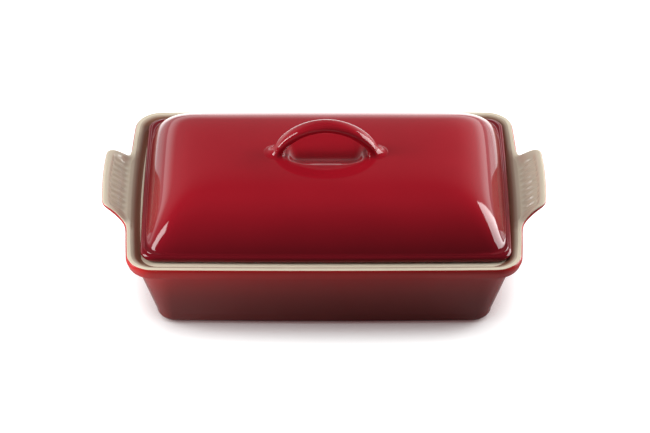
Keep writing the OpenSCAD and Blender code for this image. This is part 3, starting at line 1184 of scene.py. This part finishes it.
def look_at(place: Vector, aim: Vector) -> Matrix:
    """Return the placement of a lamp or camera at one point that faces another."""
    return Matrix.Translation(place) @ (place - aim).to_track_quat("Z", "Y").to_matrix().to_4x4()


@dataclass(frozen=True)
class Softbox:
    """An evenly bright rectangular lamp.

    Attributes:
        name: What it is called.
        place: Where it hangs, in metres.
        size: Its width and height in metres.
        power: Its power in watts.
        aim: The point that it faces, in metres.
        mirrored: Whether the glaze mirrors it.
    """

    name: str
    place: tuple[float, float, float]
    size: tuple[float, float]
    power: float
    aim: tuple[float, float, float] = (0.0, 0.0, 0.08)
    mirrored: bool = True

    def hang(self) -> None:
        """Hang the lamp."""
        lamp = bpy.data.lights.new(self.name, "AREA")
        lamp.shape, lamp.energy = "RECTANGLE", self.power
        lamp.size, lamp.size_y = self.size
        box = add_object(self.name, lamp)
        box.matrix_world = look_at(Vector(self.place), Vector(self.aim))
        if not self.mirrored:
            box.visible_camera = box.visible_glossy = False


@dataclass
class Studio:
    """The pale floor, the soft lights and the camera.

    Attributes:
        lamps: The softboxes and the card.
        glows: Soft patches of light on the background behind the object.
        fill: Brightness of the rest of the room.
        painted_shadow_reach: Reach of the painted contact shadow on the floor from the object, in metres.
        eye: Where the camera stands, in metres.
        lens_mm: Its focal length.
        sensor_mm: Width of its sensor.
        shift: Shift of its picture, as shares of its width.
    """

    lamps: tuple[Softbox, ...] = (
        Softbox("left_softbox", (-0.9, -0.08, 0.52), (0.34, 0.68), 6.4),
        Softbox("right_softbox", (0.9, 0.26, 0.36), (0.86, 0.58), 10.0),
        Softbox("top_softbox", (0.0, 0.25, 1.2), (1.2, 0.8), 5.5, mirrored=False),
        Softbox("left_card", (-0.34, -0.2, 0.09), (0.16, 0.16), 0.4, aim=(-0.12, -0.08, 0.05), mirrored=False))
    glows: tuple[Glow, ...] = (
        Glow(0.16, (0.8, 0.5)),
        Glow(0.5, (0.6, 0.15), left=(-0.1, 0.35)),
        Glow(0.12, (0.65, 0.3), right=(0.1, -0.2)),
        Glow(1.0, (0.26, 0.02)))
    fill: float = 0.07
    painted_shadow_reach: float = 0.042
    eye: tuple[float, float, float] = (-0.0016, -2.3516, 1.7761)
    lens_mm: float = 190.5
    sensor_mm: float = 36.0
    shift: tuple[float, float] = (0.0015, 0.0618)

    def paper(self) -> bpy.types.Material:
        """Mix the floor's white paper.

        It carries a painted contact shadow where the object closes it in, tinted red as a painted reflection of the
        glaze, over the real shade of its grey diffuse; the glaze mirrors a bright patch of it behind the object.

        Returns:
            The material.
        """
        material = bpy.data.materials.new("white_paper_floor")
        tree = empty_tree(material)
        path = add_node(tree, "LightPath")
        open_sky = add_node(tree, "AmbientOcclusion", {"samples": 8, "only_local": False},
                            {"Distance": self.painted_shadow_reach}).outputs["AO"]
        lift = add_node(tree, "MapRange", {"interpolation_type": "SMOOTHSTEP"},
                        {"Value": open_sky, "From Min": 0.2, "From Max": 0.97}).outputs["Result"]
        # Painted contact shadow: dark red where ambient occlusion finds the object close, white in the open
        painted_shadow = add_node(tree, "Mix", {"data_type": "RGBA"},
                        {"Factor": lift, "A": srgb("#5a3a3a"), "B": srgb("#ffffff")}).outputs["Result"]
        parts = add_node(tree, "SeparateXYZ", None, {"Vector": add_node(tree, "TexCoord").outputs["Object"]})
        behind = add_node(tree, "MapRange", {"interpolation_type": "SMOOTHSTEP"},
                          {"Value": parts.outputs["Y"], "From Min": 0.12, "From Max": 0.3}).outputs["Result"]
        aside = add_node(tree, "Math", {"operation": "ABSOLUTE"}, {0: parts.outputs["X"]}).outputs[0]
        middle = add_node(tree, "MapRange", {"interpolation_type": "SMOOTHSTEP"},
                          {"Value": aside, "From Min": 0.38, "From Max": 0.22,
                           "To Min": 0.5, "To Max": 2.2}).outputs["Result"]
        patch = add_node(tree, "Math", {"operation": "MULTIPLY"}, {0: behind, 1: middle}).outputs[0]
        mirrored = add_node(tree, "Math", {"operation": "MULTIPLY"},
                            {0: patch, 1: path.outputs["Is Glossy Ray"]}).outputs[0]
        strength = add_node(tree, "Math", {"operation": "ADD"},
                            {0: mirrored, 1: path.outputs["Is Camera Ray"]}).outputs[0]
        glow = add_node(tree, "Emission", None, {"Color": painted_shadow, "Strength": strength}).outputs[0]
        paper = add_node(tree, "BsdfDiffuse", None, {"Color": srgb("#c4c4c4")}).outputs[0]
        both = add_node(tree, "AddShader", None, {0: paper, 1: glow}).outputs[0]
        add_node(tree, "OutputMaterial", None, {"Surface": both})
        return material

    def floor(self) -> None:
        """Lay the floor, a wide pale sheet that keeps the object's shadow, with a painted contact shadow added."""
        bm = bmesh.new()
        bmesh.ops.create_grid(bm, x_segments=1, y_segments=1, size=8.0)
        mesh = bpy.data.meshes.new("floor")
        bm.to_mesh(mesh)
        bm.free()
        mesh.materials.append(self.paper())
        floor = add_object("floor", mesh)

    def sky(self) -> None:
        """Surround the object with a dim room whose white background stands low behind it."""
        world = bpy.data.worlds.new("studio_room")
        tree = empty_tree(world)
        way = add_node(tree, "TexCoord").outputs["Generated"]
        parts = add_node(tree, "SeparateXYZ", None, {"Vector": way})
        glow: Socket | float = 0.0
        for patch in self.glows:
            glow = patch.add_to(tree, parts, glow)
        path = add_node(tree, "LightPath")
        mirrored = add_node(tree, "Math", {"operation": "MULTIPLY_ADD"},
                            {0: glow, 1: path.outputs["Is Glossy Ray"], 2: self.fill}).outputs[0]
        strength = add_node(tree, "Math", {"operation": "ADD"},
                            {0: mirrored, 1: path.outputs["Is Camera Ray"]}).outputs[0]
        room = add_node(tree, "Background", None, {"Color": srgb("#ffffff"), "Strength": strength})
        add_node(tree, "OutputWorld", None, {"Surface": room.outputs[0]})
        bpy.context.scene.world = world

    def camera(self) -> None:
        """Stand the camera where the photograph was taken from."""
        lens = bpy.data.cameras.new("camera")
        lens.sensor_width, lens.lens = self.sensor_mm, self.lens_mm
        lens.clip_end = 50.0
        lens.shift_x, lens.shift_y = self.shift
        eye = add_object("camera", lens)
        eye.matrix_world = look_at(Vector(self.eye), Vector((0.0, 0.0, 0.0)))
        bpy.context.scene.camera = eye

    def build(self) -> None:
        """Set up the studio."""
        self.floor()
        self.sky()
        for lamp in self.lamps:
            lamp.hang()
        self.camera()


def main() -> None:
    """Build the dish, the lid and the studio around the frame."""
    logging.basicConfig(level=logging.INFO, format="%(message)s")
    bpy.context.scene.view_settings.view_transform = "Standard"
    for part, node, slot in ((Dish(), "dish", "dish_glaze"), (Lid(), "lid", "lid_glaze")):
        piece = part.build()
        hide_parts(node)
        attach(piece, "root")
        LOG.info("%s: %d faces", piece.name, len(piece.data.polygons))
    Studio().build()


if __name__ == "__main__":
    main()
